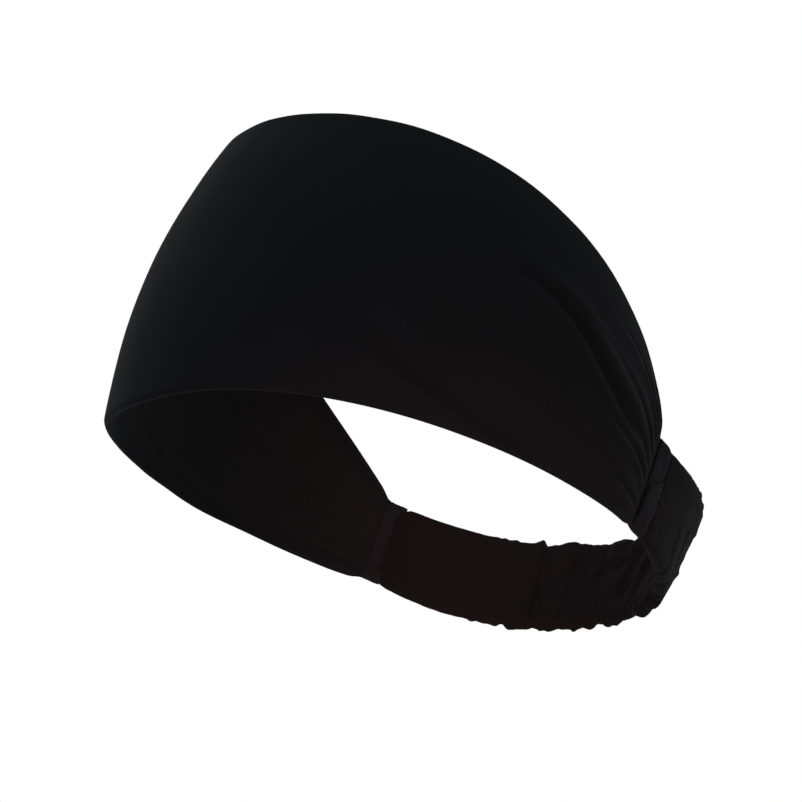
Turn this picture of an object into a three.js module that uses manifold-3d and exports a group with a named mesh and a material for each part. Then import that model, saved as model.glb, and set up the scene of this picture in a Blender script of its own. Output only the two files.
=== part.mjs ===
// Sports headband: a wide double-layer front band of stretch knit, gathered at both ends
// and sewn to a narrow back strap, which is a ruched cloth casing over a flat elastic.
// A folded strip of cloth is wrapped round each end of the band, over the gathers.
// Millimetres. The loop lies level round the Z axis, +Z is up on the head, -Y is the
// forehead and +Y the nape. The origin is the middle of the head that the loop sits on.

import * as THREE from 'three';
import { mergeVertices } from 'three/addons/utils/BufferGeometryUtils.js';
import Module from 'manifold-3d';

// Plan of the loop: half an ellipse in front of the ears and half an ellipse behind them
const HALF_WIDTH = 76;
const FRONT_REACH = 94;
const BACK_REACH = 99;

// Heights of the band's edges at the middle of the forehead
const FRONT_TOP = 61.5;
const FRONT_BOTTOM = -39;
// How late the upper edge starts to fall: 1 is a straight taper, more is fuller
const TOP_FULLNESS = 3.65;
// How round the lower edge is at the middle of the forehead, as a share of the band's run
const BOTTOM_ROUND = 0.12;

// The angle from the forehead at which the band has tapered to the height of the strap
const JOIN_ANGLE = 115;

// The back strap: how far its casing reaches past each edge of the elastic, at the join and
// at the nape, and the level of its middle in both places
const CASING_EASE_AT_JOIN = 2.45;
const CASING_EASE_AT_BACK = 4.7;
const STRAP_LEVEL_AT_JOIN = 0;
const STRAP_LEVEL_AT_BACK = 6;
// Degrees by which the strap's upper edge leans away from the head at the nape
const STRAP_LEAN_AT_BACK = 12;

// Curve of the head under the band, as one over the radius, and the level it swells most
const HEAD_SWELL_LEVEL = 14;
const UPPER_CURVE = 0.002;
const UPPER_CURVE_AT_FOREHEAD = 0.0045;
const LOWER_CURVE = 0.002;
const LOWER_CURVE_AT_FOREHEAD = 0.004;
// The band stands off the head near the joins, where its fullness is gathered in
const BILLOW = 8;
const UPPER_BILLOW = 4.5;
// The share of the band's run, before each join, over which it settles into the strap
const SETTLE = 0.25;

// Cloth and elastic
const KNIT = 0.8;
const LAYER_GAP = 1.2;
const ROLL_BACK = 5;
const THREAD = 0.4;
const ELASTIC_WIDTH = 25;
const ELASTIC_THICKNESS = 1.2;
const WRAP_WIDTH = 6;

// Clearance between pieces that touch
const CLEAR = 0.3;

// How finely curves are broken up
const BAND_STEPS = 48;
const STRAP_STEPS = 28;
const WRAP_STEPS = 2;
const FACE_STEPS = 10;
const STRAP_ROWS = 2;
const ROLL_STEPS = 3;
const THREAD_SIDES = 6;

// Sizes that follow from the ones above
const tapered = THREE.MathUtils.degToRad(JOIN_ANGLE);
const bandThickness = 2 * KNIT + LAYER_GAP;
const strapThickness = 2 * KNIT + 2 * CLEAR + ELASTIC_THICKNESS;
const halfStrapAtJoin = ELASTIC_WIDTH / 2 + KNIT + CASING_EASE_AT_JOIN;
const halfStrapAtBack = ELASTIC_WIDTH / 2 + KNIT + CASING_EASE_AT_BACK;

const { lerp, clamp, smoothstep } = THREE.MathUtils;

// ---------------------------------------------------------------- The shape of the loop

// Shares of the way round: along the band from the forehead, and on along the strap
function wayRound(angle) {
  const turn = Math.acos(Math.cos(angle));
  const along = clamp(turn / tapered, 0, 1);
  const behind = clamp((turn - tapered) / (Math.PI - tapered), 0, 1);
  return { along, eased: (1 - Math.cos(Math.PI * behind)) / 2 };
}

// Heights of the lower and the upper edge at an angle round the loop
function edges(angle) {
  const { along, eased } = wayRound(angle);
  const level = lerp(STRAP_LEVEL_AT_JOIN, STRAP_LEVEL_AT_BACK, eased);
  const half = lerp(halfStrapAtJoin, halfStrapAtBack, eased);
  const joinTop = STRAP_LEVEL_AT_JOIN + halfStrapAtJoin;
  const joinBottom = STRAP_LEVEL_AT_JOIN - halfStrapAtJoin;
  const topShare = 1 - along ** TOP_FULLNESS;
  const run = Math.hypot(along, BOTTOM_ROUND) - BOTTOM_ROUND;
  const bottomShare = 1 - run / (Math.hypot(1, BOTTOM_ROUND) - BOTTOM_ROUND);
  return {
    level,
    top: level + half + (FRONT_TOP - joinTop) * topShare,
    bottom: level - half + (FRONT_BOTTOM - joinBottom) * bottomShare,
  };
}

// A point of the outer face, at an angle round the loop and a height
function face(angle, z) {
  const { along, eased } = wayRound(angle);
  const { level, top, bottom } = edges(angle);
  const reach = Math.cos(angle) > 0 ? FRONT_REACH : BACK_REACH;
  const plan = new THREE.Vector3(HALF_WIDTH * Math.sin(angle), -reach * Math.cos(angle), 0);
  const outward = new THREE.Vector3(plan.x / HALF_WIDTH ** 2, plan.y / reach ** 2, 0).normalize();

  const front = Math.max(Math.cos(angle), 0);
  const upper = lerp(UPPER_CURVE, UPPER_CURVE_AT_FOREHEAD, front);
  const lower = lerp(LOWER_CURVE, LOWER_CURVE_AT_FOREHEAD, front);
  const off = z - HEAD_SWELL_LEVEL;
  const onHead = -(off > 0 ? upper : lower) * off * off / 2;

  const lean = Math.tan(THREE.MathUtils.degToRad(STRAP_LEAN_AT_BACK)) * eased;
  const onStrap = (z - level) * lean;

  const settled = smoothstep(along, 1 - SETTLE, 1);
  const share = 2 * (z - bottom) / (top - bottom) - 1;
  const bulge = BILLOW * (1 - share * share) + UPPER_BILLOW * (share + 1) / 2;
  const out = lerp(onHead, onStrap, settled) + bulge * Math.sin(Math.PI * along ** 2);
  return plan.addScaledVector(outward, out).setZ(z);
}

// A point some depth under the outer face, measured square to it
function place(angle, z, depth) {
  const step = 1e-3;
  const round = face(angle + step, z).sub(face(angle - step, z));
  const up = face(angle, z + step).sub(face(angle, z - step));
  const outward = round.cross(up).normalize();
  return face(angle, z).addScaledVector(outward, -depth);
}

// The angle reached by going a distance past the end of the taper, towards the nape
function angleBeyondTaper(distance) {
  const level = STRAP_LEVEL_AT_JOIN;
  const step = 1e-3;
  const perRadian = face(tapered + step, level).distanceTo(face(tapered, level)) / step;
  return tapered + distance / perRadian;
}

// ---------------------------------------------------------------- Making solids

// Evenly spaced numbers from one value to another
function spaced(low, high, steps) {
  return Array.from({ length: steps + 1 }, (_, i) => lerp(low, high, i / steps));
}

// A flat box bent into place round the loop, with a step at each of a list of angles.
// paths(angle) gives two lines of [height, depth] points from the lower edge to the upper
// one: the box's outer face and its inner face
function bend(paths, angles) {
  const steps = angles.length - 1;
  const rows = paths(angles[0])[0].length - 1;
  const geometry = new THREE.BoxGeometry(1, 1, 1, steps, rows, 1);
  const flat = geometry.attributes.position;
  for (let i = 0; i < flat.count; i++) {
    const angle = angles[Math.round((flat.getX(i) + 0.5) * steps)];
    const [outer, inner] = paths(angle);
    const row = Math.round((flat.getY(i) + 0.5) * rows);
    const [z, depth] = (flat.getZ(i) > 0 ? outer : inner)[row];
    flat.setXYZ(i, ...place(angle, z, depth));
  }
  geometry.computeVertexNormals();
  return geometry;
}

// A thread laid along a line of points, with its closed round section
function threadAlong(points) {
  const section = new THREE.Shape();
  section.absarc(0, 0, THREAD / 2, 0, 2 * Math.PI);
  return new THREE.ExtrudeGeometry(section, {
    steps: points.length - 1,
    curveSegments: THREAD_SIDES / 2,
    extrudePath: new THREE.CatmullRomCurve3(points),
  });
}

// A thread up the loop's side at one angle, from one height to another
function threadUp(angle, low, high, depth) {
  return threadAlong(spaced(low, high, FACE_STEPS).map((z) => place(angle, z, depth)));
}

const wasm = await Module();
wasm.setup();

function toSolid(geometry) {
  const bare = new THREE.BufferGeometry().setIndex(geometry.index);
  bare.setAttribute('position', geometry.attributes.position);
  const merged = mergeVertices(bare);
  return new wasm.Manifold(
    new wasm.Mesh({
      numProp: 3,
      vertProperties: merged.attributes.position.array,
      triVerts: new Uint32Array(merged.index.array),
    }),
  );
}

function toGeometry(solid) {
  const mesh = solid.getMesh();
  const geometry = new THREE.BufferGeometry();
  geometry.setAttribute('position', new THREE.BufferAttribute(mesh.vertProperties, 3));
  geometry.setIndex(new THREE.BufferAttribute(mesh.triVerts, 1));
  geometry.computeVertexNormals();
  return geometry;
}

// A flat tube: an outer bar with an inner bar, a little longer at both ends, cut out of it
function hollow(outer, inner) {
  return toGeometry(toSolid(outer).subtract(toSolid(inner)));
}

// A strip's outer and inner lines at a list of heights
function strip(heights, near, far) {
  return [near, far].map((depth) => heights.map((z) => [z, depth]));
}

// ---------------------------------------------------------------- Materials

const coloured = (color, roughness) => new THREE.MeshStandardMaterial({ color, roughness, metalness: 0 });
const knit = () => coloured(0x15161a, 0.85);
const elastic = () => coloured(0x101012, 0.75);
const thread = () => coloured(0x1c1c20, 0.6);

const headband = new THREE.Group();
const sides = [['left', 1], ['right', -1]];

function add(name, geometry, material) {
  const mesh = new THREE.Mesh(geometry, material);
  mesh.name = name;
  headband.add(mesh);
}

// ---------------------------------------------------------------- Front band

// The band goes on past its taper, the same height as the strap, to the far side of the wrap
const wrapStart = angleBeyondTaper(CLEAR);
const bandEnd = angleBeyondTaper(CLEAR + WRAP_WIDTH);
const bandAngles = [-bandEnd, ...spaced(-tapered, tapered, BAND_STEPS), bandEnd];

// Outer panel: the outer face, rolled over both edges and a little way down the inside.
// The cloth's outer side turns with the full radius of the rolled edge, its inner side
// with what the cloth's thickness leaves
const rollRadius = bandThickness / 2;
function outerPanelPaths(angle) {
  const { top, bottom } = edges(angle);
  return [rollRadius, rollRadius - KNIT].map((radius) => {
    const roll = (centre, share) => [
      centre + radius * Math.sin(Math.PI * share),
      rollRadius - radius * Math.cos(Math.PI * share),
    ];
    const low = bottom + rollRadius;
    const high = top - rollRadius;
    const line = [[bottom + ROLL_BACK, rollRadius + radius]];
    for (let i = 0; i <= ROLL_STEPS; i++) line.push(roll(low, i / ROLL_STEPS - 1));
    for (let i = 1; i < FACE_STEPS; i++) line.push([lerp(low, high, i / FACE_STEPS), rollRadius - radius]);
    for (let i = 0; i <= ROLL_STEPS; i++) line.push(roll(high, i / ROLL_STEPS));
    line.push([top - ROLL_BACK, rollRadius + radius]);
    return line;
  });
}
add('outer_panel', bend(outerPanelPaths, bandAngles), knit());

// Lining panel: the inner face, butted to the rolled edges of the outer panel
const liningInset = ROLL_BACK + CLEAR;
add('lining_panel', bend((angle) => {
  const { top, bottom } = edges(angle);
  const heights = spaced(bottom + liningInset, top - liningInset, FACE_STEPS);
  return strip(heights, bandThickness - KNIT, bandThickness);
}, bandAngles), knit());

// Edge seams: each thread runs between the two layers, where the lining meets the roll
function seamAlongBand(height) {
  return threadAlong(bandAngles.map((angle) => place(angle, height(edges(angle)), bandThickness / 2)));
}
add('upper_edge_seam', seamAlongBand(({ top }) => top - liningInset), thread());
add('lower_edge_seam', seamAlongBand(({ bottom }) => bottom + liningInset), thread());

// Gathering threads: a row up each end of the band, between its two layers
const gatherInset = liningInset + THREAD + CLEAR;
const wrapMiddle = (wrapStart + bandEnd) / 2;
for (const [name, side] of sides) {
  const { top, bottom } = edges(wrapMiddle);
  const ends = [bottom + gatherInset, top - gatherInset];
  add(`${name}_gather_thread`, threadUp(side * wrapMiddle, ...ends, bandThickness / 2), thread());
}

// Join wraps: a strip of cloth round each gathered end of the band, and the row of stitches
// that goes through the strip and the band
const wrapPaths = (grow) => (angle) => {
  const { top, bottom } = edges(angle);
  return strip(spaced(bottom - grow, top + grow, STRAP_ROWS), -grow, bandThickness + grow);
};
const pastEnd = bandEnd - angleBeyondTaper(WRAP_WIDTH);
const stitchRise = CLEAR + KNIT + CLEAR + THREAD / 2;
for (const [name, side] of sides) {
  const [from, to] = side > 0 ? [wrapStart, bandEnd] : [-bandEnd, -wrapStart];
  add(`${name}_join_wrap`, hollow(
    bend(wrapPaths(CLEAR + KNIT), spaced(from, to, WRAP_STEPS)),
    bend(wrapPaths(CLEAR), spaced(from - pastEnd, to + pastEnd, WRAP_STEPS)),
  ), knit());
  const { top, bottom } = edges(wrapMiddle);
  const stitches = threadUp(side * wrapMiddle, bottom, top, -stitchRise);
  add(`${name}_wrap_stitch`, stitches, thread());
}

// ---------------------------------------------------------------- Back strap

// Casing: a flat tube of knit, open at both ends, from just behind one join to the other
const strapStart = angleBeyondTaper(CLEAR + WRAP_WIDTH + CLEAR);
const strapEnd = 2 * Math.PI - strapStart;
const strapAngles = spaced(strapStart, strapEnd, STRAP_STEPS);
const casingOuter = (angle) => {
  const { top, bottom } = edges(angle);
  return strip(spaced(bottom, top, STRAP_ROWS), 0, strapThickness);
};
const casingInner = (angle) => {
  const { top, bottom } = edges(angle);
  return strip(spaced(bottom + KNIT, top - KNIT, STRAP_ROWS), KNIT, strapThickness - KNIT);
};
add('back_casing', hollow(
  bend(casingOuter, strapAngles),
  bend(casingInner, [strapStart - pastEnd, ...strapAngles, strapEnd + pastEnd]),
), knit());

// Elastic: one flat strip the whole length of the casing, half-way up it
const elasticNear = KNIT + CLEAR;
add('elastic_strip', bend((angle) => {
  const { level } = edges(angle);
  const half = ELASTIC_WIDTH / 2;
  const heights = spaced(level - half, level + half, STRAP_ROWS);
  return strip(heights, elasticNear, elasticNear + ELASTIC_THICKNESS);
}, strapAngles), elastic());

// Casing seam: the thread that closes the tube runs inside it, along its lower edge
const seamHeight = KNIT + CLEAR + THREAD / 2;
add('casing_seam', threadAlong(strapAngles.map((angle) => {
  return place(angle, edges(angle).bottom + seamHeight, strapThickness / 2);
})), thread());

export default headband;
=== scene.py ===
# Sports headband: a wide front band of two layers of stretch knit, gathered into a folded
# wrap at each end, and a narrow back strap of ruched knit over a flat elastic.
# Metres. +Z is up on the head, -Y the forehead, +Y the nape and +X the wearer's left.

import math

import bmesh
import bpy
import numpy as np
from mathutils import Matrix, Vector


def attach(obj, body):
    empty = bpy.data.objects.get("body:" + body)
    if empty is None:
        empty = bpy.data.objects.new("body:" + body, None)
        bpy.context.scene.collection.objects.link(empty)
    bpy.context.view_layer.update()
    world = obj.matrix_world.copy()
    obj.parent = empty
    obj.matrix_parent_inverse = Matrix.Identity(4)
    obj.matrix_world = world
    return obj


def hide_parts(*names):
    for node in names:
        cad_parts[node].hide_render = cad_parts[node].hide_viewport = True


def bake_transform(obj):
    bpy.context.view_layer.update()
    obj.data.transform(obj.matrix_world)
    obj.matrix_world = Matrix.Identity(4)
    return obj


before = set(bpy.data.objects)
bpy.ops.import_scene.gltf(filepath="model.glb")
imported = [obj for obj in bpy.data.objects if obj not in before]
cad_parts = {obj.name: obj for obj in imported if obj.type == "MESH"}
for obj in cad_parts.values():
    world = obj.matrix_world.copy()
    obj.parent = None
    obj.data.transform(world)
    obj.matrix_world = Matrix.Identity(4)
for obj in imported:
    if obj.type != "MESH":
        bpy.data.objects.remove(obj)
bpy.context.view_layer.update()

# ---- Camera ---------------------------------------------------------------------------
# It looks at the headband from the wearer's left, a little in front and well below the
# loop, and is tipped to one side, so that the forehead stands up and the nape hangs low.

view_azimuth = math.radians(60.27)
view_elevation = math.radians(-24.67)
view_roll = math.radians(21.37)
view_distance = 0.6964

backward = Vector((
    math.sin(view_azimuth) * math.cos(view_elevation),
    -math.cos(view_azimuth) * math.cos(view_elevation),
    math.sin(view_elevation),
))
level_right = Vector((math.cos(view_azimuth), math.sin(view_azimuth), 0))
level_up = backward.cross(level_right)
rightward = level_right * math.cos(view_roll) + level_up * math.sin(view_roll)
upward = level_up * math.cos(view_roll) - level_right * math.sin(view_roll)

camera = bpy.data.objects.new("camera", bpy.data.cameras.new("camera"))
bpy.context.scene.collection.objects.link(camera)
camera.matrix_world = Matrix.Translation(backward * view_distance) @ Matrix(
    (rightward, upward, backward)
).transposed().to_4x4()
camera.data.sensor_width = 36
camera.data.lens = 101.4
camera.data.shift_x = -0.0043
camera.data.shift_y = 0.056
camera.data.clip_start = 0.01
bpy.context.scene.camera = camera

# ---- Outer panel ----------------------------------------------------------------------
# The front band's outer face: one panel of fine black stretch knit, tallest at the
# forehead and cut to taper to the strap. It is rolled over both long edges on to the
# inside, and its ends are drawn up by the gathering threads, which fans folds into it.

half_width = 0.076
front_reach = 0.094
back_reach = 0.099
forehead_top = 0.0615
forehead_bottom = -0.039
top_fullness = 3.65
bottom_round = 0.12
join_angle = math.radians(115)

strap_half_at_join = 0.01575
strap_half_at_back = 0.018
strap_level_at_back = 0.006
strap_lean_at_back = math.radians(12)

# How sharply the band leans in over the head, above and below its widest level
head_swell_level = 0.014
side_curve = 2.0
brow_curve_above = 4.5
brow_curve_below = 4.0
billow = 0.008
upper_billow = 0.0045
settle = 0.25

cloth_thickness = 0.0005
band_thickness = 0.0028
roll_back = 0.005
wrap_width = 0.006
clearance = 0.0003


def mix(low, high, share):
    return low + (high - low) * share


def smooth(value, low, high):
    """Rises softly from 0 at low to 1 at high."""
    t = np.clip((value - low) / (high - low), 0, 1)
    return t * t * (3 - 2 * t)


def way_round(angle):
    """How far along the band, and how far on along the strap, an angle from the forehead is."""
    turn = np.arccos(np.cos(angle))
    along = np.clip(turn / join_angle, 0, 1)
    behind = np.clip((turn - join_angle) / (math.pi - join_angle), 0, 1)
    return along, (1 - np.cos(math.pi * behind)) / 2


def edges(angle):
    """Middle, lower edge and upper edge of the loop at an angle."""
    along, eased = way_round(angle)
    level = strap_level_at_back * eased
    half = mix(strap_half_at_join, strap_half_at_back, eased)
    run = np.hypot(along, bottom_round) - bottom_round
    full_run = math.hypot(1, bottom_round) - bottom_round
    top = level + half + (forehead_top - strap_half_at_join) * (1 - along**top_fullness)
    bottom = level - half + (forehead_bottom + strap_half_at_join) * (1 - run / full_run)
    return level, bottom, top


def outward_of(angle):
    """Level direction away from the head."""
    reach = np.where(np.cos(angle) > 0, front_reach, back_reach)
    away = np.stack([np.sin(angle) / half_width, -np.cos(angle) / reach, 0 * angle], -1)
    return away / np.linalg.norm(away, axis=-1, keepdims=True)


def face(angle, height):
    """A point of the smooth outer face, before it folds."""
    along, eased = way_round(angle)
    level, bottom, top = edges(angle)
    reach = np.where(np.cos(angle) > 0, front_reach, back_reach)
    plan = np.stack([half_width * np.sin(angle), -reach * np.cos(angle), height], -1)
    front = np.maximum(np.cos(angle), 0)
    off = height - head_swell_level
    curve = mix(side_curve, np.where(off > 0, brow_curve_above, brow_curve_below), front)
    on_head = -curve * off * off / 2
    on_strap = (height - level) * math.tan(strap_lean_at_back) * eased
    share = 2 * (height - bottom) / (top - bottom) - 1
    bulge = billow * (1 - share**2) + upper_billow * (share + 1) / 2
    out = mix(on_head, on_strap, smooth(along, 1 - settle, 1)) + bulge * np.sin(math.pi * along**2)
    return plan + outward_of(angle) * out[..., None]


def facing(angle, height):
    """Direction square to the smooth outer face, away from the head."""
    turn = 1e-3
    rise = 1e-5
    round_the_loop = face(angle + turn, height) - face(angle - turn, height)
    up_the_side = face(angle, height + rise) - face(angle, height - rise)
    square = np.cross(round_the_loop, up_the_side)
    return square / np.linalg.norm(square, axis=-1, keepdims=True)


# Length of the loop from the forehead, in steps fine enough to read either way
fine_angles = np.linspace(0, math.pi, 721)
fine_points = face(fine_angles, edges(fine_angles)[0])
fine_lengths = np.concatenate([[0], np.cumsum(np.linalg.norm(np.diff(fine_points, axis=0), axis=1))])
join_length = np.interp(join_angle, fine_angles, fine_lengths)
half_loop = fine_lengths[-1]


def length_at(angle):
    return np.sign(angle) * np.interp(np.abs(angle), fine_angles, fine_lengths)


def angle_at(length):
    return np.sign(length) * np.interp(np.abs(length), fine_lengths, fine_angles)


def grain(x, y, seed):
    """Smooth random hills and hollows, about one to each unit of x and y, from -1 to 1. Each
    use has its own seed, and a number added to x or y picks another part of the same field."""
    field = 256
    full_swing = 1.5
    slopes = np.random.default_rng(seed).uniform(0, 2 * math.pi, (field, field))
    column = np.floor(x).astype(int)
    row = np.floor(y).astype(int)
    over = x - column
    up = y - row
    total = 0
    for across in (0, 1):
        for above in (0, 1):
            slope = slopes[(column + across) % field, (row + above) % field]
            rise = np.cos(slope) * (over - across) + np.sin(slope) * (up - above)
            near_x = 1 - np.abs(over - across)
            near_y = 1 - np.abs(up - above)
            ease_x = near_x**3 * (near_x * (near_x * 6 - 15) + 10)
            ease_y = near_y**3 * (near_y * (near_y * 6 - 15) + 10)
            total = total + rise * ease_x * ease_y
    return full_swing * total


def hump(value, middle, width):
    """1 at the middle, and dying away to both sides."""
    return np.exp(-(((value - middle) / width) ** 2))


pleats_up_side = 9
pleat_height = 0.0018
pleat_reach = 0.012
long_pleat_reach = 0.042
pleat_wander = 0.35
pleat_wander_length = 0.03
pleat_roundness = 0.8
pleat_fade = 1.3
patch_length = 0.04
weakest_pleat = 0.55
pressed_at_join = 0.12
pressed_for = 0.012
wrap_pull = 0.055
wrap_squeeze = 0.5
pull_full = -0.0005
pull_from = 0.0045

# Each longer fold: the line of its crease, as distances from the join and heights, where it
# rises and dies away, and how deep it is. One near the lower edge runs to the side of the
# brow, and two start from the gathers. They are fainter on the wearer's right.
long_folds = [
    (
        [(0.046, -0.0191), (0.0566, -0.0202), (0.0662, -0.0204), (0.0766, -0.0195),
         (0.0878, -0.0176), (0.0962, -0.0168), (0.1029, -0.0153), (0.115, -0.0109)],
        (0.036, 0.062, 0.1, 0.124), 0.0015,
    ),
    (
        [(0.0214, 0.0047), (0.0333, 0.0073), (0.0397, 0.0095), (0.0452, 0.0127),
         (0.0574, 0.018), (0.0636, 0.0207), (0.0706, 0.0215), (0.0835, 0.0228)],
        (0.012, 0.026, 0.06, 0.092), 0.0013,
    ),
    (
        [(0.0251, -0.0082), (0.036, -0.008), (0.046, -0.0082), (0.0557, -0.0066),
         (0.0627, -0.0045), (0.0679, -0.0015)],
        (0.012, 0.026, 0.05, 0.072), 0.0009,
    ),
]
right_fold_share = 0.45
crease_line_degree = 3
long_crease_width = 0.0014
hill_share = 0.75
hill_above = 0.0048
hill_width = 0.0036
foot_share = 0.35
foot_below = 0.0042
foot_width = 0.003

# Where the cloth lies proud of its smooth face or, with a minus, hollow: the angle from the
# forehead, its spread and height, and the shares of the face's height it comes in over
uneven_places = [
    (-0.42, 0.3, 0.0007, (-0.9, 0)),
    (1.15, 0.32, 0.0009, (0.2, 1)),
    (1.75, 0.2, -0.0007, (-0.4, 0.6)),
]
slack_height = 0.0004
slack_length = 0.045
fine_slack_height = 0.0002
fine_slack_length = 0.018
slack_rise = 0.03


def folds(angle, height):
    """How far the gathered band stands out from its smooth face."""
    _, bottom, top = edges(angle)
    share = 2 * (height - bottom) / (top - bottom) - 1
    side = np.where(angle > 0, 11, 47)
    from_join = join_length - np.abs(length_at(angle))

    # Pleats fan out from the gathers, some of them much further than others
    wander = pleat_wander * grain(from_join / pleat_wander_length + side, share * 1.5 + 5, 3)
    ridge = share * pleats_up_side / 2 + wander
    further = smooth(grain(side + 0.5, ridge * 0.9 + 20, 5), -0.5, 0.6)
    reach = mix(pleat_reach, long_pleat_reach, further)
    fade = np.exp(-(np.maximum(from_join, 0) / reach) ** pleat_fade)
    pressed = mix(pressed_at_join, 1, smooth(from_join, 0, pressed_for))
    patchy = smooth(grain(from_join / patch_length + side, ridge * 0.8 + 3, 8), -0.6, 0.6)
    strength = mix(weakest_pleat, 1, patchy)
    wave = np.abs(np.sin(math.pi * ridge)) ** pleat_roundness - 0.5
    pleats = pleat_height * wave * fade * pressed * strength

    # Each longer fold is a hill with a narrow crease under it and a low foot below that
    for crease_path, ends, depth in long_folds:
        crease_line = np.polyfit(*np.transpose(crease_path), crease_line_degree)
        above = height - np.polyval(crease_line, from_join)
        hill = hill_share * hump(above, hill_above, hill_width)
        foot = foot_share * hump(above, -foot_below, foot_width)
        fold = hill + foot - hump(above, 0, long_crease_width)
        shown = smooth(from_join, *ends[:2]) * (1 - smooth(from_join, *ends[2:]))
        pleats = pleats + depth * fold * shown * np.where(angle > 0, 1, right_fold_share)

    # The cloth is never quite even
    along = length_at(angle)
    slack = slack_height * grain(along / slack_length, height / slack_rise + 9, 21)
    slack = slack + fine_slack_height * grain(along / fine_slack_length, height / slack_rise + 40, 22)
    lie = 0
    for place_at, spread, rise, comes_in in uneven_places:
        lie = lie + rise * hump(angle, place_at, spread) * smooth(share, *comes_in)
    return pleats + slack * pressed + lie


def pulled_in(from_join):
    """The wrap draws the band's ends in: 1 under the wrap, 0 clear of it."""
    return 1 - smooth(from_join, pull_full, pull_from)


def place(angle, height, depth):
    """A point some depth under the folded outer face of the band."""
    middle = edges(angle)[0]
    pull = pulled_in(join_length - np.abs(length_at(angle)))
    height = middle + (height - middle) * (1 - wrap_pull * pull)
    depth = mix(depth, band_thickness / 2, wrap_squeeze * pull)
    out = folds(angle, height) - depth
    return face(angle, height) + facing(angle, height) * out[..., None]


def grid_piece(name, steps, flat, shape, tube=False):
    """A flat grid laid on a shape. steps and flat are (round the loop, across) in faces and
    metres, and shape gives the points for shares 0 to 1 of both. A tube's sides are joined."""
    mesh = bpy.data.meshes.new(name)
    bm = bmesh.new()
    bmesh.ops.create_grid(bm, x_segments=steps[0], y_segments=steps[1], size=0.5)
    shares = np.array([v.co[:2] for v in bm.verts]) + 0.5
    pattern = bm.loops.layers.uv.new("cut")
    for piece_face in bm.faces:
        for loop in piece_face.loops:
            x, y = shares[loop.vert.index]
            loop[pattern].uv = (x * flat[0], y * flat[1])
    for vertex, point in zip(bm.verts, shape(shares[:, 0], shares[:, 1])):
        vertex.co = point
    if tube:
        bmesh.ops.remove_doubles(bm, verts=bm.verts, dist=1e-6)
    for piece_face in bm.faces:
        piece_face.smooth = True
    bm.to_mesh(mesh)
    bm.free()
    piece = bpy.data.objects.new(name, mesh)
    bpy.context.scene.collection.objects.link(piece)
    return piece


def give_thickness(piece, thickness):
    wall = piece.modifiers.new("thickness", "SOLIDIFY")
    wall.thickness = thickness
    wall.offset = -1


class Wire:
    """A socket in a material's nodes, which takes part in sums."""

    def __init__(self, nodes, socket):
        self.nodes = nodes
        self.socket = socket

    def maths(self, operation, *values):
        inputs = dict(enumerate(values))
        return make_node(self.nodes, "ShaderNodeMath", {"operation": operation}, inputs)

    def __add__(self, other):
        return self.maths("ADD", self, other)

    def __radd__(self, other):
        return self.maths("ADD", other, self)

    def __sub__(self, other):
        return self.maths("SUBTRACT", self, other)

    def __rsub__(self, other):
        return self.maths("SUBTRACT", other, self)

    def __mul__(self, other):
        return self.maths("MULTIPLY", self, other)

    def __rmul__(self, other):
        return self.maths("MULTIPLY", other, self)

    def __truediv__(self, other):
        return self.maths("DIVIDE", self, other)

    def __rtruediv__(self, other):
        return self.maths("DIVIDE", other, self)

    def __abs__(self):
        return self.maths("ABSOLUTE", self)

    def fraction(self):
        return self.maths("FRACT", self)

    def sine(self):
        return self.maths("SINE", self)


def make_node(nodes, kind, settings=None, inputs=None, output=0):
    """Any node: its type, its settings, then its sockets' values or links."""
    node = nodes.nodes.new(kind)
    for setting, value in (settings or {}).items():
        setattr(node, setting, value)
    for socket, value in (inputs or {}).items():
        if isinstance(value, Wire):
            nodes.links.new(value.socket, node.inputs[socket])
        else:
            node.inputs[socket].default_value = value
    return Wire(nodes, node.outputs[output])


def new_material(name):
    material = bpy.data.materials.new(name)
    material.use_nodes = True
    material.node_tree.nodes.clear()
    return material, material.node_tree


def finish_material(nodes, shader):
    output = nodes.nodes.new("ShaderNodeOutputMaterial")
    nodes.links.new(shader.socket, output.inputs["Surface"])


def as_cut(nodes):
    """Metres along and across the piece as it lay flat on the cutting table."""
    pattern = make_node(nodes, "ShaderNodeUVMap", {"uv_map": "cut"})
    separate = nodes.nodes.new("ShaderNodeSeparateXYZ")
    nodes.links.new(pattern.socket, separate.inputs[0])
    return Wire(nodes, separate.outputs[0]), Wire(nodes, separate.outputs[1])


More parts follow.
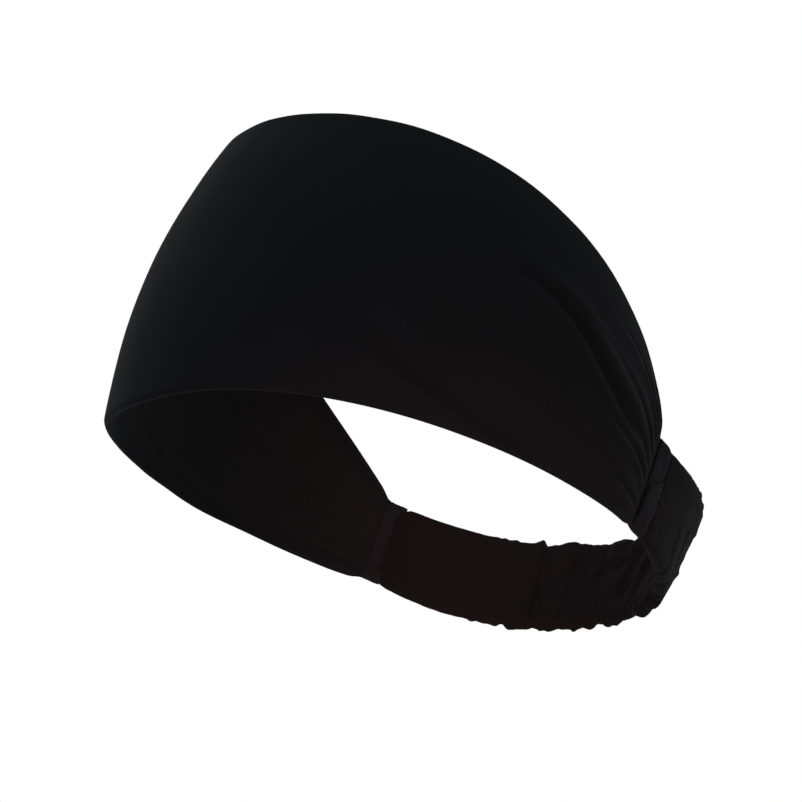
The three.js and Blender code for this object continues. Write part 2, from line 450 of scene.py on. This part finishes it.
def knit(name, dark, light, fuzz=0.011):
    """Fine plain knit: columns of small v-shaped stitches, dyed black and a little uneven, with painted
    shade in the hollows between the stitches.
    """
    wale = 0.00055
    course = 0.00045
    v_slope = 1.3
    stitch_depth = 0.00005
    lint_depth = 0.00004
    material, nodes = new_material(name)
    along, across = as_cut(nodes)
    column = along / wale
    row = across / course
    from_middle = abs(column.fraction() - 0.5)
    column_round = (column * math.pi).sine()
    stitch_round = ((row + from_middle * v_slope) * math.tau).sine() * 0.5 + 0.5
    stitches = abs(column_round) * (stitch_round * 0.6 + 0.4)

    place_on = make_node(nodes, "ShaderNodeTexCoord", output="Object")
    blotches = make_node(nodes, "ShaderNodeTexNoise", {}, {
        "Vector": place_on, "Scale": 60.0, "Detail": 3.0, "Roughness": 0.6,
    })
    lint = make_node(nodes, "ShaderNodeTexNoise", {}, {
        "Vector": place_on, "Scale": 1400.0, "Detail": 2.0, "Roughness": 0.7,
    })
    # The colour holds uneven dye (blotches) and lint, and painted shade: darker in the hollows between
    # the stitches, where the bump sinks.
    tone = blotches * 0.5 + stitches * 0.3 + lint * 0.2
    colour = make_node(nodes, "ShaderNodeMix", {"data_type": "RGBA"}, {
        0: tone, 6: (*dark, 1), 7: (*light, 1),
    }, output=2)
    roughness = 0.82 + blotches * 0.12
    height = stitches * stitch_depth + lint * lint_depth
    bump = make_node(nodes, "ShaderNodeBump", {}, {
        "Strength": 0.6, "Distance": 1.0, "Height": height,
    })
    shader = make_node(nodes, "ShaderNodeBsdfPrincipled", {}, {
        "Base Color": colour,
        "Roughness": roughness,
        "Normal": bump,
        "Specular IOR Level": 0.03,
        "Sheen Weight": fuzz,
        "Sheen Roughness": 0.45,
        "Sheen Tint": (0.75, 0.85, 1.0, 1.0),
    })
    finish_material(nodes, shader)
    return material


end_under_wrap = 0.45
wrap_start = join_length + clearance
band_end = wrap_start + end_under_wrap * wrap_width
roll_radius = band_thickness / 2
tail = roll_back - roll_radius
panel_face_share = 0.76


def outer_panel_shape(along, across):
    """Round the section: up inside the lower edge, round it, up the face, and over the top."""
    angle = angle_at(mix(-band_end, band_end, along))
    _, bottom, top = edges(angle)
    low = bottom + roll_radius
    high = top - roll_radius
    side_share = (1 - panel_face_share) / 2
    # 0 to 1 over the straight tail, 1 to 2 round the roll, counted in from each long edge
    from_edge = np.minimum(across, 1 - across) / side_share * 2
    turned = np.clip(from_edge - 1, 0, 1) * math.pi
    flat_tail = np.clip(1 - from_edge, 0, 1) * tail
    depth_on_roll = roll_radius * (1 + np.cos(turned))
    past_edge = roll_radius * np.sin(turned)
    lower = low - past_edge + flat_tail
    upper = high + past_edge - flat_tail
    on_face = mix(low, high, np.clip((across - side_share) / panel_face_share, 0, 1))
    height = np.where(from_edge < 2, np.where(across < 0.5, lower, upper), on_face)
    return place(angle, height, depth_on_roll * (from_edge < 2))


outer_cut_height = 0.118
outer_panel = grid_piece(
    "outer_panel_cloth", (300, 155), (2 * band_end, outer_cut_height), outer_panel_shape
)
give_thickness(outer_panel, cloth_thickness)
# The band's knit is tinted bluer than the lining's: painted cool light from the brow side, over the
# knit's own black.
band_black_painted_cool = knit("black_band_knit", (0.0020, 0.0021, 0.0024), (0.0050, 0.0051, 0.0058))
outer_panel.data.materials.append(band_black_painted_cool)
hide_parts("outer_panel")
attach(outer_panel, "front_band")

# ---- Lining panel ---------------------------------------------------------------------
# The inner face of the band, against the forehead and hair: a panel of the same knit,
# a little smaller, sewn edge to edge with the rolled edges of the outer panel.

lining_gap = 0.0001
lining_inset = roll_back + lining_gap


def lining_shape(along, across):
    angle = angle_at(mix(-band_end, band_end, along))
    _, bottom, top = edges(angle)
    height = mix(top - lining_inset, bottom + lining_inset, across)
    return place(angle, height, np.full_like(angle, band_thickness))


lining_cut_height = 0.09
lining_cut = (2 * band_end, lining_cut_height)
lining = grid_piece("lining_panel_cloth", (300, 130), lining_cut, lining_shape)
give_thickness(lining, cloth_thickness)
lining_black = knit("black_lining_knit", (0.0024, 0.0024, 0.0026), (0.0060, 0.0059, 0.0064))
lining.data.materials.append(lining_black)
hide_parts("lining_panel")
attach(lining, "front_band")

# ---- Edge seams -----------------------------------------------------------------------
# Polyester thread that joins the lining to the rolled edge of the outer panel, above and
# below. Each stitch shows on the inside as a short dash, sunk in the line of the join.

thread_width = 0.0004
thread_twist = 0.0009
stitch_length = 0.003
seam_inset = roll_back + 0.00005
seam_sunk = 0.0003
seam_stops_at = 0.9995


def thread_piece(name, steps, length, centre_line):
    """A closed tube of thread round a line of points. centre_line gives points for shares."""
    turn_steps = 8
    shares = np.linspace(0, 1, steps + 1)
    line = centre_line(shares)
    along = np.gradient(line, axis=0)
    along /= np.linalg.norm(along, axis=1, keepdims=True)
    aside = np.cross(along, line * (1, 1, 0))
    aside /= np.linalg.norm(aside, axis=1, keepdims=True)
    above = np.cross(aside, along)

    def shape(share, turned):
        at = np.round(share * steps).astype(int)
        angle = (turned * 2 * math.pi)[:, None]
        round_it = aside[at] * np.cos(angle) + above[at] * np.sin(angle)
        return line[at] + round_it * thread_width / 2

    piece = grid_piece(name, (steps, turn_steps), (length, 1), shape, tube=True)
    close_ends(piece)
    return piece


def close_ends(piece):
    bm = bmesh.new()
    bm.from_mesh(piece.data)
    open_edges = [edge for edge in bm.edges if edge.is_boundary]
    bmesh.ops.holes_fill(bm, edges=open_edges, sides=0)
    bmesh.ops.recalc_face_normals(bm, faces=bm.faces)
    bm.to_mesh(piece.data)
    bm.free()


def thread_finish(name, colour):
    """Two twisted plies with a soft shine, and painted shade in the grooves between the plies."""
    material, nodes = new_material(name)
    along, turned = as_cut(nodes)
    plies = abs(((along / thread_twist + turned) * math.pi * 2).sine())
    # Painted shade: the colour is darker in the grooves between the plies, where the bump sinks.
    colours = make_node(nodes, "ShaderNodeMix", {"data_type": "RGBA"}, {
        0: plies, 6: (*(c * 0.6 for c in colour), 1), 7: (*colour, 1),
    }, output=2)
    bump = make_node(nodes, "ShaderNodeBump", {}, {
        "Strength": 0.7, "Distance": 1.0, "Height": plies * 0.00006,
    })
    shader = make_node(nodes, "ShaderNodeBsdfPrincipled", {}, {
        "Base Color": colours,
        "Roughness": 0.55 + plies * 0.1,
        "Normal": bump,
        "Specular IOR Level": 0.05,
    })
    finish_material(nodes, shader)
    return material


black_thread = thread_finish("black_sewing_thread", (0.0040, 0.0039, 0.0043))
seam_length = 2 * band_end
seam_steps = 1000


def edge_seam_line(upper):
    def line(share):
        angle = angle_at(mix(-band_end, band_end, share) * seam_stops_at)
        _, bottom, top = edges(angle)
        height = top - seam_inset if upper else bottom + seam_inset
        stitch = np.cos(share * seam_length / stitch_length * 2 * math.pi)
        depth = mix(band_thickness / 2, band_thickness - seam_sunk, smooth(stitch, -0.9, 0.2))
        return place(angle, height, depth)
    return line


for name, upper in (("upper_edge_seam", True), ("lower_edge_seam", False)):
    seam = thread_piece(name + "_stitched", seam_steps, seam_length, edge_seam_line(upper))
    seam.data.materials.append(black_thread)
    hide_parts(name)
    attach(seam, "front_band")

# ---- Gathering threads ----------------------------------------------------------------
# A running thread up each end of the band, between its two layers. It is pulled tight to
# draw the panels' height down to the strap's, and stays hidden under the wrap.

wrap_middle = angle_at(wrap_start + wrap_width / 2)
gather_clear_of_seam = 0.0012
gather_inset = lining_inset + gather_clear_of_seam
gather_wave = 0.0001
gather_length = 0.02
gather_steps = 60


def gather_line(side):
    angle = side * wrap_middle
    _, bottom, top = edges(angle)

    def line(share):
        height = mix(bottom + gather_inset, top - gather_inset, share)
        depth = band_thickness / 2 + gather_wave * np.sin(share * pleats_up_side * 2 * math.pi)
        return place(np.full_like(share, angle), height, depth)
    return line


for name, side in (("left", 1), ("right", -1)):
    gather = thread_piece(f"{name}_gather_thread_run", gather_steps, gather_length, gather_line(side))
    gather.data.materials.append(black_thread)
    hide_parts(f"{name}_gather_thread")
    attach(gather, "front_band")

# ---- Join wraps -----------------------------------------------------------------------
# A strip of knit, both long edges folded under, is wrapped round each gathered end of the
# band. Its ends lap over each other on the outer face, low down and a little slanted, and a
# row of stitches holds it through all the layers.

wrap_cloth = 0.00035
wrap_stand = 0.00055
wrap_crown = 0.00012
wrap_hem = 0.0027
wrap_lap = 0.007
lap_at = -0.38
lap_slant = 0.0025
lap_climb = 0.00085
climb_from = 1.9
climb_to = 0.95
end_roll = 0.0003
hem_gap = 0.00012
hem_bend = 0.22
hem_draw = 0.9
edge_reach = 1.02
edge_past_face = 0.00015
wrap_crease = 0.00018
wrap_crease_round = 0.006
wrap_crease_across = 0.004
wrap_flat_width = 0.0122


def wrap_point(way, rise, half):
    """Height above the middle, and depth, at a way round the section, standing off by rise."""
    middle_depth = band_thickness / 2
    drawn = wrap_squeeze * middle_depth
    rise = rise - drawn
    radius = middle_depth + rise
    straight = half - middle_depth
    arc = math.pi * middle_depth
    whole = 4 * straight + 2 * arc
    at = np.mod(way, whole)
    first = straight
    second = first + arc
    third = second + 2 * straight
    fourth = third + arc
    turn_over = (at - first) / middle_depth
    turn_under = (at - third) / middle_depth
    height = np.select(
        [at < first, at < second, at < third, at < fourth],
        [
            at,
            straight + radius * np.sin(turn_over),
            straight - (at - second),
            -straight - radius * np.sin(turn_under),
        ],
        at - whole,
    )
    depth = np.select(
        [at < first, at < second, at < third, at < fourth],
        [
            -rise,
            middle_depth - radius * np.cos(turn_over),
            band_thickness + rise,
            middle_depth + radius * np.cos(turn_under),
        ],
        -rise,
    )
    return height, depth


def wrap_shape(side):
    """Round the section for the long way of the strip, and hem to hem across it."""
    half = (edges(wrap_middle)[2] - edges(wrap_middle)[1]) / 2 * (1 - wrap_pull)
    middle = edges(wrap_middle)[0]
    round_once = 4 * (half - roll_radius) + 2 * math.pi * roll_radius
    strip_length = round_once + wrap_lap
    start = half * lap_at

    def shape(along, across):
        # Across the strip: a hem underneath, a folded edge, the face, an edge and a hem
        reach = wrap_flat_width * (across - 0.5)
        face_half = wrap_flat_width / 2 - wrap_hem
        folded = np.clip((np.abs(reach) - face_half) / wrap_hem, 0, 1)
        over_fold = smooth(folded, 0, hem_bend)
        back_under = face_half * edge_reach - (folded * wrap_hem) * hem_draw
        width = np.where(folded > 0, back_under, np.abs(reach))
        width = np.minimum(width, face_half + edge_past_face)
        shift = np.sign(reach) * width
        crown = wrap_crown * (1 - (shift / face_half) ** 4)
        under = over_fold * (wrap_cloth + hem_gap + crown * hem_draw)
        # Along the strip: it laps on to its own start, where it climbs over it
        slant = lap_slant * shift / face_half
        way = start + strip_length * along + slant * (along * 2 - 1)
        climb = smooth(
            along, 1 - climb_from * wrap_lap / round_once, 1 - climb_to * wrap_lap / round_once
        )
        rolled_in = smooth(along, 0.985, 1) * end_roll
        rise = wrap_stand + crown - under + climb * lap_climb - rolled_in
        crumple = grain(way / wrap_crease_round + 7 * side, shift / wrap_crease_across + 30, 31)
        creases = wrap_crease * crumple
        rise = rise + creases * (1 - over_fold * 0.5)
        height, depth = wrap_point(way, rise, half)
        angle = angle_at(wrap_start + wrap_width / 2 + shift)
        smooth_face = face(side * angle, middle + height)
        return smooth_face - facing(side * angle, middle + height) * depth[..., None]
    return shape, strip_length


# The wraps' knit is made lighter and bluer than the band's: painted cool light catching the wraps, over
# the knit's own black.
wrap_black_painted_lit = knit("wrap_black_knit", (0.0028, 0.0029, 0.0035), (0.0064, 0.0064, 0.0076))
for name, side in (("left", 1), ("right", -1)):
    shape, wrap_length = wrap_shape(side)
    wrap = grid_piece(f"{name}_join_wrap_cloth", (240, 44), (wrap_length, wrap_flat_width), shape)
    give_thickness(wrap, wrap_cloth)
    wrap.data.materials.append(wrap_black_painted_lit)
    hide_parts(f"{name}_join_wrap")
    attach(wrap, "front_band")

# ---- Wrap stitches --------------------------------------------------------------------
# A row of short stitches up the outer face of each wrap, near its edge on the strap's side.
# The thread goes through the wrap and the gathered band, and pulls each dash into the cloth.

wrap_stitch_length = 0.0026
wrap_stitch_inset = 0.001
wrap_stitch_depth = 0.0004
over_lap = 0.0009
wrap_row_length = 0.04


def wrap_stitch_line(side):
    half = (edges(wrap_middle)[2] - edges(wrap_middle)[1]) / 2 * (1 - wrap_pull)
    middle = edges(wrap_middle)[0]
    angle = side * angle_at(wrap_start + wrap_width * 0.5)

    def line(share):
        height = middle + mix(-half + wrap_stitch_inset, half - wrap_stitch_inset, share)
        stitch = np.cos(share * 2 * half / wrap_stitch_length * 2 * math.pi)
        on_lap = smooth(-(height - middle) / half, 0.05, 0.25) * over_lap
        outside = wrap_stand + wrap_crown - wrap_squeeze * band_thickness / 2 + on_lap
        depth = mix(wrap_stitch_depth, -outside, smooth(stitch, -0.8, 0.1))
        at = np.full_like(share, angle)
        return face(at, height) - facing(at, height) * depth[..., None]
    return line


for name, side in (("left", 1), ("right", -1)):
    stitches = thread_piece(f"{name}_wrap_stitch_row", 240, wrap_row_length, wrap_stitch_line(side))
    stitches.data.materials.append(black_thread)
    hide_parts(f"{name}_wrap_stitch")
    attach(stitches, "front_band")

# ---- Elastic --------------------------------------------------------------------------
# One flat woven elastic, 25 mm wide, runs from wrap to wrap inside the strap and is what
# grips. Fine ribs of rubber core run along it under a woven cover.

elastic_width = 0.025
elastic_thickness = 0.0012
elastic_near = 0.0011
elastic_end = 0.004
elastic_rib = 0.0012
elastic_pick = 0.0007
weave_depth = 0.00012
strap_under_wrap = 0.55
strap_start = wrap_start + strap_under_wrap * wrap_width
strap_length = 2 * (half_loop - strap_start)
whole_lengths = np.concatenate([fine_lengths, 2 * half_loop - fine_lengths[-2::-1]])
whole_angles = np.concatenate([fine_angles, 2 * math.pi - fine_angles[-2::-1]])


def strap_angle(along):
    """The angle at a share of the strap's length, from the left wrap to the right one."""
    return np.interp(strap_start + strap_length * along, whole_lengths, whole_angles)


sway_to_right = 0.0015
sway_at_nape = 0.0003


def sway(along):
    """The soft strap hangs a little lower on the right than on the left."""
    return sway_to_right * np.sin(2 * math.pi * along) - sway_at_nape * np.sin(math.pi * along)


def elastic_shape(along, across):
    angle = strap_angle(mix(elastic_end, 1 - elastic_end, along))
    height = edges(angle)[0] + elastic_width * (across - 0.5) + sway(along)
    return face(angle, height) - facing(angle, height) * elastic_near


def woven_elastic(name):
    """Ribs along the elastic, crossed by the picks of its woven cover, with painted shade in the
    grooves between them.
    """
    material, nodes = new_material(name)
    along, across = as_cut(nodes)
    ribs = abs((across / elastic_rib * math.pi).sine())
    picks = (along / elastic_pick * math.tau).sine() * 0.5 + 0.5
    weave = ribs * (picks * 0.4 + 0.6)
    # Painted shade: the colour is darker in the grooves between the ribs and the picks, where the bump
    # sinks.
    colours = make_node(nodes, "ShaderNodeMix", {"data_type": "RGBA"}, {
        0: weave, 6: (0.004, 0.004, 0.0045, 1), 7: (0.011, 0.011, 0.012, 1),
    }, output=2)
    bump = make_node(nodes, "ShaderNodeBump", {}, {
        "Strength": 0.7, "Distance": 1.0, "Height": weave * weave_depth,
    })
    shader = make_node(nodes, "ShaderNodeBsdfPrincipled", {}, {
        "Base Color": colours,
        "Roughness": 0.7 + picks * 0.1,
        "Normal": bump,
        "Specular IOR Level": 0.2,
    })
    finish_material(nodes, shader)
    return material


elastic = grid_piece("elastic_strip_woven", (240, 20), (strap_length, elastic_width), elastic_shape)
give_thickness(elastic, elastic_thickness)
elastic.data.materials.append(woven_elastic("black_woven_elastic"))
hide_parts("elastic_strip")

join_point = face(angle_at(np.array([strap_start])), np.array([0.0]))[0]
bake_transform(elastic)

# ---- Back casing ----------------------------------------------------------------------
# A tube of the same knit round the elastic, cut a fifth longer than it, so that the elastic
# gathers it into small crumpled folds. Its ends are sewn into the wraps.

strap_thickness = 0.0034
section_radius = strap_thickness / 2
casing_cloth = 0.0005
extra_length = 1.2

ruche_height = 0.0017
edge_ruche = 0.0023
lowest_ruche = -0.12
ruche_slant = 0.35
ruche_wander = 0.006
ruche_wander_length = 0.03
broad_ruche = 0.0085
broad_ruche_round = 0.026
broad_share = 1.2
fine_ruche = 0.0042
fine_ruche_round = 0.014
fine_share = 0.35
lump_size = 0.02

sharp_creases = 17
first_crease = 0.16
crease_spread = 0.68
crease_slant = 0.16
crease_wander = 0.0012
crease_depth = 0.75
crease_width = 0.0011

# The casing lies smooth for a way from each join, and further on the right
smooth_on_left = 0.018
smooth_on_right = 0.034
smooth_to_ruched = 0.03
calm_share = 0.15


def ruche(length, way, from_join):
    """How far the gathered casing stands out, by the length round and the way over it."""
    wander = ruche_wander * grain(length / ruche_wander_length, way / lump_size + 60, 41)
    slanted = length + ruche_slant * way + wander
    broad = np.abs(grain(slanted / broad_ruche, way / broad_ruche_round + 3, 42))
    fine = np.abs(grain(slanted / fine_ruche, way / fine_ruche_round + 9, 43))
    lumps = 0.5 + 0.5 * grain(length / lump_size, way / lump_size + 70, 44)
    height = (broad * broad_share + fine * fine_share) * mix(0.65, 1.15, lumps)
    # Sharper creases run right over the tube, slanted and unevenly spaced, and notch its edges
    for number in range(sharp_creases):
        stagger = 0.5 * math.sin(number * 2.4)
        crease_at = strap_length * (first_crease + crease_spread * (number + stagger) / sharp_creases)
        bend = crease_wander * grain(way / 0.012 + number, length / 0.05, 45)
        away = length + crease_slant * way + bend - crease_at
        depth = crease_depth * (0.6 + 0.4 * math.sin(number * 5.1))
        height = height - depth * hump(away, 0, crease_width)
        height = height + 0.5 * depth * hump(away, 2 * crease_width, crease_width)
    # The creases sink only a little way towards the elastic
    height = np.maximum(height, lowest_ruche)
    smooth_for = mix(smooth_on_left, smooth_on_right, length / strap_length)
    calm = mix(calm_share, 1, smooth(from_join, smooth_for, smooth_for + smooth_to_ruched))
    return height * smooth(from_join, 0.0025, 0.008) * calm


def round_section(half, across):
    """A flat tube's section with round edges, starting at the lower edge and going up the
    outer face: the way round it, the centre and the direction to stand off it, and its girth."""
    straight = half - section_radius
    arc = math.pi * section_radius
    whole = 4 * straight + 2 * arc
    way = across * whole
    ends = [arc / 2, arc / 2 + 2 * straight, 1.5 * arc + 2 * straight, 1.5 * arc + 4 * straight]
    part = [way < end for end in ends]
    turned = np.select(part, [
        way / section_radius,
        math.pi / 2,
        math.pi / 2 + (way - ends[1]) / section_radius,
        1.5 * math.pi,
    ], 1.5 * math.pi + (way - ends[3]) / section_radius)
    centre = np.select(part, [
        -straight,
        way - ends[0] - straight,
        straight,
        straight - way + ends[2],
    ], -straight)
    return way, centre, -np.cos(turned), np.sin(turned), whole


tube_seam_ease = 0.8
into_wrap_full = 0.0022
into_wrap_from = 0.005
end_flattened = 0.55
end_drawn_in = 0.045
edge_set_in = 0.0006


def casing_shape(along, across):
    angle = strap_angle(along)
    level, bottom, top = edges(angle)
    way, centre, up, out, girth = round_section((top - bottom) / 2, across)
    from_join = np.minimum(along, 1 - along) * strap_length
    length = strap_length * along
    # The two sides of the tube's seam, at the lower edge, stand out alike
    back_to_start = smooth(across, tube_seam_ease, 1)
    lift = mix(ruche(length, way, from_join), ruche(length, way - girth, from_join), back_to_start)
    high = mix(ruche_height, edge_ruche, np.abs(up))
    into_wrap = 1 - smooth(from_join, into_wrap_full, into_wrap_from)
    stand = section_radius * (1 - end_flattened * into_wrap) + lift * high
    set_in = edge_set_in * (1 - into_wrap) * np.abs(up)
    height = level + centre * (1 - end_drawn_in * into_wrap) + up * (stand - set_in) + sway(along)
    depth = section_radius - out * stand
    return face(angle, height) - facing(angle, height) * depth[..., None]


def casing_cut_shape(along, across):
    """The same tube before it is gathered: straight, smooth and at its full cut length."""
    _, centre, up, out, _ = round_section(strap_half_at_back, across)
    length = along * strap_length * extra_length
    return np.stack([length, -out * section_radius, centre + up * section_radius], -1)


def gather_by_simulation(piece, cut, core):
    """Cloth simulation: the piece, longer than the space it has, buckles over the core."""
    frames = 7
    most_moved = 0.0009
    held_length = 0.009
    rest = np.array([v.co for v in cut.data.vertices])
    start = np.array([v.co for v in piece.data.vertices])
    bpy.data.objects.remove(cut)
    piece.shape_key_add(name="worn")
    cut_length = piece.shape_key_add(name="cut")
    cut_length.data.foreach_set("co", rest.ravel())
    held = piece.vertex_groups.new(name="held")
    low, high = rest[:, 0].min(), rest[:, 0].max()
    margin = held_length * extra_length
    at_ends = np.flatnonzero((rest[:, 0] < low + margin) | (rest[:, 0] > high - margin))
    held.add([int(i) for i in at_ends], 1.0, "REPLACE")

    core.modifiers.new("core", "COLLISION")
    core.collision.thickness_outer = 0.0002
    core.collision.thickness_inner = 0.0008
    cloth = piece.modifiers.new("gather", "CLOTH")
    cloth.settings.rest_shape_key = cut_length
    cloth.settings.vertex_group_mass = held.name
    cloth.settings.quality = 6
    cloth.settings.mass = 0.05
    cloth.settings.air_damping = 2
    cloth.settings.tension_stiffness = 30
    cloth.settings.compression_stiffness = 30
    cloth.settings.bending_stiffness = 0.5
    cloth.settings.effector_weights.gravity = 0
    cloth.collision_settings.distance_min = 0.0003
    cloth.collision_settings.use_self_collision = False
    for number in range(1, frames + 1):
        bpy.context.scene.frame_set(number)
    worn = piece.evaluated_get(bpy.context.evaluated_depsgraph_get()).data
    moved = np.array([v.co for v in worn.vertices]) - start
    far = np.linalg.norm(moved, axis=1, keepdims=True)
    settled = start + moved * np.minimum(1, most_moved / np.maximum(far, 1e-9))

    piece.modifiers.remove(cloth)
    piece.shape_key_clear()
    core.modifiers.remove(core.modifiers["core"])
    piece.data.vertices.foreach_set("co", settled.ravel())
    piece.data.update()
    bpy.context.scene.frame_set(1)


def crimp_edges(piece):
    """Fullness and small pointed tufts along both edges, where the creases run over them."""
    fullness = 0.0009
    tuft_height = 0.0016
    tuft_spacing = 0.0032
    tuft_narrowness = 2.4
    tuft_patch_length = 0.006
    edge_from = 0.7
    edge_whole = 0.95
    points = np.array([v.co for v in piece.data.vertices])
    angle = np.arctan2(points[:, 0] / half_width, -points[:, 1] / back_reach)
    length = length_at(angle)
    from_join = np.abs(length) - strap_start
    level, bottom, top = edges(angle)
    round_from_left = np.where(length < 0, 2 * half_loop + length, length)
    above = points[:, 2] - level - sway((round_from_left - strap_start) / strap_length)
    side = np.sign(above)
    near_edge = smooth(np.abs(above) / (top - bottom) * 2, edge_from, edge_whole)
    field = np.abs(grain(length / tuft_spacing, side * 7.3, 51))
    tufts = np.maximum(0, 1 - tuft_narrowness * np.sqrt(field))
    uneven = smooth(grain(length / tuft_patch_length, side * 3.1 + 20, 52), -0.4, 0.5)
    full = smooth(from_join, 0.006, 0.03)
    ruched = smooth(from_join, 0.02, 0.045)
    points[:, 2] += side * near_edge * fullness * full
    points[:, 2] += side * near_edge * tuft_height * tufts * uneven * ruched
    piece.data.vertices.foreach_set("co", points.ravel())
    piece.data.update()


casing_steps = (300, 40)
casing_girth = 0.074
casing_cut = (strap_length * extra_length, casing_girth)
casing = grid_piece("back_casing_cloth", casing_steps, casing_cut, casing_shape, tube=True)
cut_casing = grid_piece("casing_as_cut", casing_steps, casing_cut, casing_cut_shape, tube=True)
gather_by_simulation(casing, cut_casing, elastic)
crimp_edges(casing)
finer = casing.modifiers.new("finer", "SUBSURF")
finer.levels = 1
finer.render_levels = 1
give_thickness(casing, casing_cloth)
# The casing's knit is made darker and warmer than the band's: painted shade of its ruches and painted
# warm light from below, over the knit's own black.
ruched_black_painted_shade = knit("black_ruched_knit", (0.0019, 0.0017, 0.0019), (0.0042, 0.0038, 0.0042), fuzz=0.004)
casing.data.materials.append(ruched_black_painted_shade)
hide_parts("back_casing")
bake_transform(casing)

# ---- Casing seam ----------------------------------------------------------------------
# The thread that closed the casing into a tube, before it was turned right side out. It
# runs inside along the lower edge, and is gathered with the cloth.

casing_seam_end = 0.01
casing_seam_rise = 0.0019
casing_seam_wave = 0.0002
casing_stitch_length = 0.0025


def casing_seam_line(share):
    angle = strap_angle(mix(casing_seam_end, 1 - casing_seam_end, share))
    _, bottom, _ = edges(angle)
    wave = casing_seam_wave * np.sin(strap_length * share / casing_stitch_length * 2 * math.pi)
    height = bottom + sway(share) + casing_seam_rise + wave
    return face(angle, height) - facing(angle, height) * section_radius


casing_seam = thread_piece("casing_seam_thread", 500, casing_cut[0], casing_seam_line)
casing_seam.data.materials.append(black_thread)
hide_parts("casing_seam")
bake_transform(casing_seam)

# ---- Floor and light ------------------------------------------------------------------
# A plain pale floor well under the headband, an even pale surround, and three soft lamps: a
# broad cool one before the brow, a faint cool one above the left side, and a small warm one
# below it that is aimed inside the loop.

floor_level = -0.42
floor_mesh = bpy.data.meshes.new("floor")
bm = bmesh.new()
bmesh.ops.create_grid(bm, x_segments=1, y_segments=1, size=4)
bmesh.ops.translate(bm, verts=bm.verts, vec=(0, 0, floor_level))
bm.to_mesh(floor_mesh)
bm.free()
floor = bpy.data.objects.new("floor", floor_mesh)
bpy.context.scene.collection.objects.link(floor)
pale, nodes = new_material("pale_floor")
finish_material(nodes, make_node(nodes, "ShaderNodeBsdfPrincipled", {}, {
    "Base Color": (0.8, 0.8, 0.8, 1), "Roughness": 0.9, "Specular IOR Level": 0.1,
}))
floor.data.materials.append(pale)

world = bpy.data.worlds.new("surround")
world.use_nodes = True
world.node_tree.nodes["Background"].inputs["Color"].default_value = (1, 1, 1, 1)
world.node_tree.nodes["Background"].inputs["Strength"].default_value = 1.0
bpy.context.scene.world = world
bpy.context.scene.view_settings.view_transform = "Standard"


def lamp(name, place_at, size, watts, colour, aim=(0, 0, 0), spread=180):
    light = bpy.data.objects.new(name, bpy.data.lights.new(name, "AREA"))
    bpy.context.scene.collection.objects.link(light)
    light.data.size = size
    light.data.energy = watts
    light.data.color = colour
    light.location = place_at
    light.data.spread = math.radians(spread)
    light.rotation_euler = (Vector(aim) - Vector(place_at)).to_track_quat("-Z", "Y").to_euler()
    return light


lamp("brow_lamp", (-0.25, -0.9, 0.6), 0.6, 2.0, (0.12, 0.55, 1.0))
lamp("side_lamp", (0.4, -0.5, 0.9), 0.6, 0.15, (0.30, 0.70, 1.0))
lamp("low_lamp", (0.40, -0.30, -0.34), 0.06, 0.09, (1.0, 0.50, 0.45), (-0.045, 0.07, 0.0), 18)
